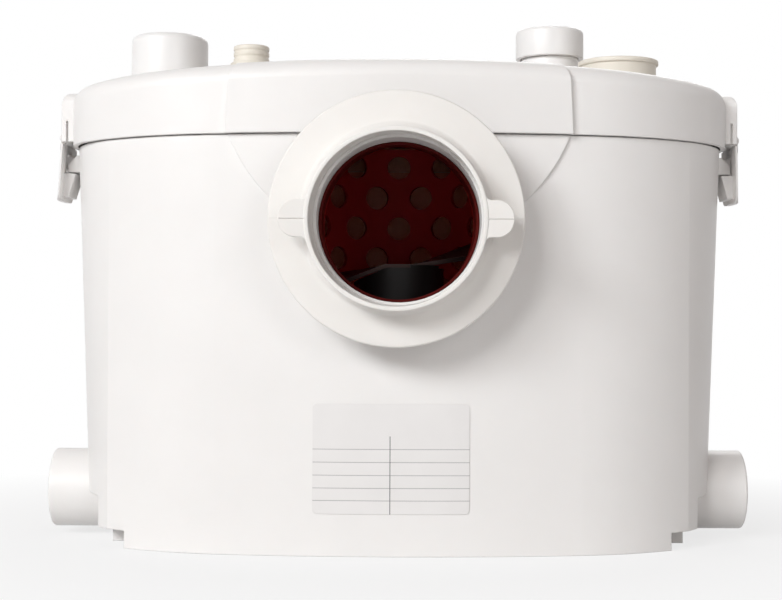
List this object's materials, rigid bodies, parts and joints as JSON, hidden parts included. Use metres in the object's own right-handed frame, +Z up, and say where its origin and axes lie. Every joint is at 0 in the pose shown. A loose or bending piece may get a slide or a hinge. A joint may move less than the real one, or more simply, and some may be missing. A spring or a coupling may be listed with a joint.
{
  "type": "macerator toilet pump",
  "caption": "Macerator pump behind a toilet: bow-fronted tank with domed latched lid, flanged rubber pan collar over a strainer basket and pitched cutter, side inlets and capped top stubs.",
  "frame": {"origin": "on the floor under the tank, midway between the two side inlets", "axes": "+X to the right seen from the front, -Y out of the pan inlet, +Z up"},
  "size_m": [0.408, 0.2325, 0.3032],
  "materials": {
    "shell": "satin moulded",
    "connector": "satin moulded",
    "basket": "satin moulded",
    "black_plastic": "satin moulded",
    "steel": "satin",
    "black_rubber": "matt",
    "copper": "enamelled wire",
    "core": "laminated",
    "ivory": "satin moulded",
    "label": "printed film",
    "grey_plastic": "satin moulded",
    "charcoal": "open foam",
    "motor_paint": "cast",
    "capacitor_shell": "satin"
  },
  "bodies": {
    "casing": {"tank": "shell", "lid": "shell", "side_inlet_left": "shell", "side_inlet_right": "shell", "lid_seal": "black_rubber", "label_plate": "label", "latch_pins": "steel", "pan_connector": "connector", "connector_band": "steel", "basket": "basket", "stator_core": "core", "windings": "copper", "bearing_lower": "steel", "bearing_upper": "steel", "seal_upper": "black_rubber", "seal_lower": "black_rubber", "motor_seal": "black_rubber", "motor_housing": "motor_paint", "motor_base": "motor_paint", "motor_cover": "motor_paint", "motor_screws": "steel", "volute": "black_plastic", "suction_plate": "black_plastic", "plate_screws": "steel", "rubber_mounts": "black_rubber", "riser": "grey_plastic", "riser_sleeve": "black_rubber", "valve_body": "grey_plastic", "neck_seal": "black_rubber", "discharge_neck": "shell", "vent_filter": "charcoal", "cable_gland": "ivory", "gland_nut": "ivory", "flap_pins": "steel", "pressure_bell": "grey_plastic", "diaphragm": "black_rubber", "level_switch": "black_plastic", "control_box": "grey_plastic", "box_cover": "grey_plastic", "box_screws": "steel", "terminal_block": "ivory", "capacitor": "capacitor_shell", "motor_lead": "black_rubber"},
    "rotor": {"shaft": "steel", "rotor_core": "core", "impeller": "black_plastic", "impeller_nut": "steel", "cutter_hub": "black_plastic", "cutter_blade": "steel", "cutter_screw": "steel"},
    "latch_left": {"latch_left": "shell"},
    "latch_right": {"latch_right": "shell"},
    "vent_cap": {"vent_cap": "shell"},
    "cap_liner": {"cap_disc": "black_rubber"},
    "discharge_cap": {"discharge_cap": "shell"},
    "top_inlet_cap": {"top_inlet_cap": "ivory"},
    "valve_flap": {"valve_flap": "black_rubber"},
    "flap_left": {"flap_left": "black_rubber"},
    "flap_right": {"flap_right": "black_rubber"},
    "plunger": {"plunger": "grey_plastic"}
  },
  "joints": [
    {"name": "rotor_spin", "type": "hinge", "parent": "casing", "child": "rotor", "pos_m": [0, -0.026, 0.1], "axis": [0, 0, 1], "continuous": true},
    {"name": "latch_left_swing", "type": "hinge", "parent": "casing", "child": "latch_left", "pos_m": [-0.1968, 0, 0.2335], "axis": [0, 1, 0], "range_deg": [0, 35]},
    {"name": "latch_right_swing", "type": "hinge", "parent": "casing", "child": "latch_right", "pos_m": [0.1968, 0, 0.2335], "axis": [0, -1, 0], "range_deg": [0, 35]},
    {"name": "vent_cap_lift", "type": "slide", "parent": "casing", "child": "vent_cap", "axis": [0, 0, 1], "range_m": [0, 0.03]},
    {"name": "cap_rise", "type": "slide", "parent": "casing", "child": "cap_liner", "axis": [0, 0, 1], "range_m": [0, 0.0145]},
    {"name": "cap_turn", "type": "hinge", "parent": "cap_liner", "child": "discharge_cap", "pos_m": [0.0909, 0.011, 0.29], "axis": [0, 0, 1], "range_deg": [0, 1440]},
    {"name": "top_inlet_cap_lift", "type": "slide", "parent": "casing", "child": "top_inlet_cap", "axis": [0, 0, 1], "range_m": [0, 0.03]},
    {"name": "valve_flap_swing", "type": "hinge", "parent": "casing", "child": "valve_flap", "pos_m": [0.0744, 0.011, 0.195], "axis": [0, -1, 0], "range_deg": [0, 70]},
    {"name": "flap_left_swing", "type": "hinge", "parent": "casing", "child": "flap_left", "pos_m": [-0.1466, 0, 0.054], "axis": [0, -1, 0], "range_deg": [0, 50]},
    {"name": "flap_right_swing", "type": "hinge", "parent": "casing", "child": "flap_right", "pos_m": [0.1466, 0, 0.054], "axis": [0, 1, 0], "range_deg": [0, 50]},
    {"name": "plunger_press", "type": "slide", "parent": "casing", "child": "plunger", "axis": [0, 0, 1], "range_m": [0, 0.0015], "stiffness_N_per_m": 200, "deforming": ["diaphragm"]}
  ],
  "couplings": [
    {"joint": "cap_rise", "follows": "cap_turn", "m_per_rad": 0.00055704}
  ]
}
